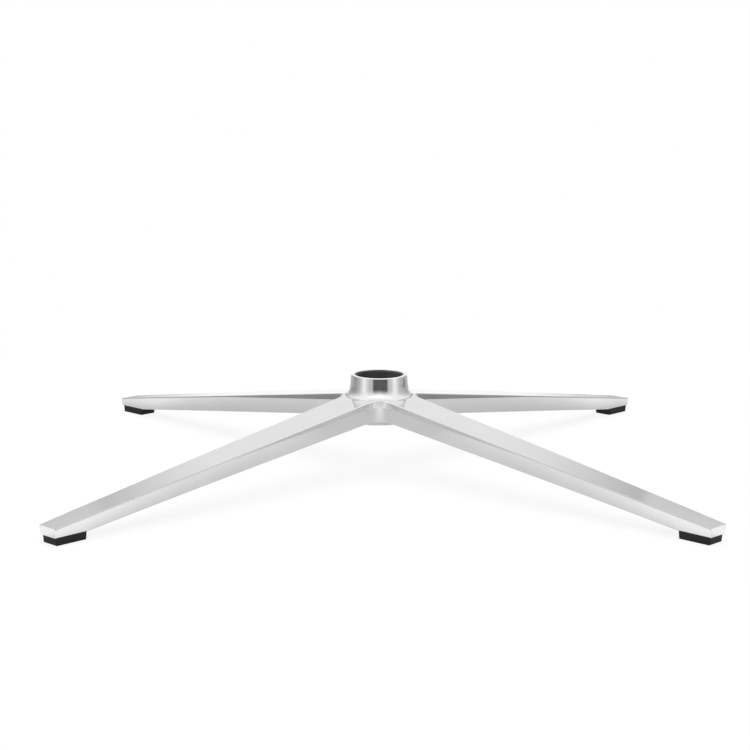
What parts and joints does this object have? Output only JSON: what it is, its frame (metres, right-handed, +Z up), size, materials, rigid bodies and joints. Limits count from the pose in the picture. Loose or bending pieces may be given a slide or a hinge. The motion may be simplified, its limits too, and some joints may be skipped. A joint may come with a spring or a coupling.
{
  "type": "office chair base",
  "caption": "Low star-shaped swivel chair base: polished cast arms that taper from a flared hub with a lined column bore to small black floor pads.",
  "frame": {"origin": "on the floor under the hub axis", "axes": "+Z up along the hub axis, -Y to the front between two arms, arms at 45 degrees to X and Y"},
  "size_m": [0.5096, 0.5096, 0.0824],
  "materials": {
    "polished_casting": "polished to a mirror, brighter on the rounded top edges",
    "black_sleeve": "plain black, semi matt",
    "black_pad": "moulded black, fine matt grain",
    "zinc_steel": "zinc plated"
  },
  "bodies": {
    "root": {"base_casting": "polished_casting", "column_sleeve": "black_sleeve", "foot_pad_front_left": "black_pad", "foot_pad_front_right": "black_pad", "foot_pad_back_left": "black_pad", "foot_pad_back_right": "black_pad", "foot_screws": "zinc_steel"}
  },
  "joints": []
}
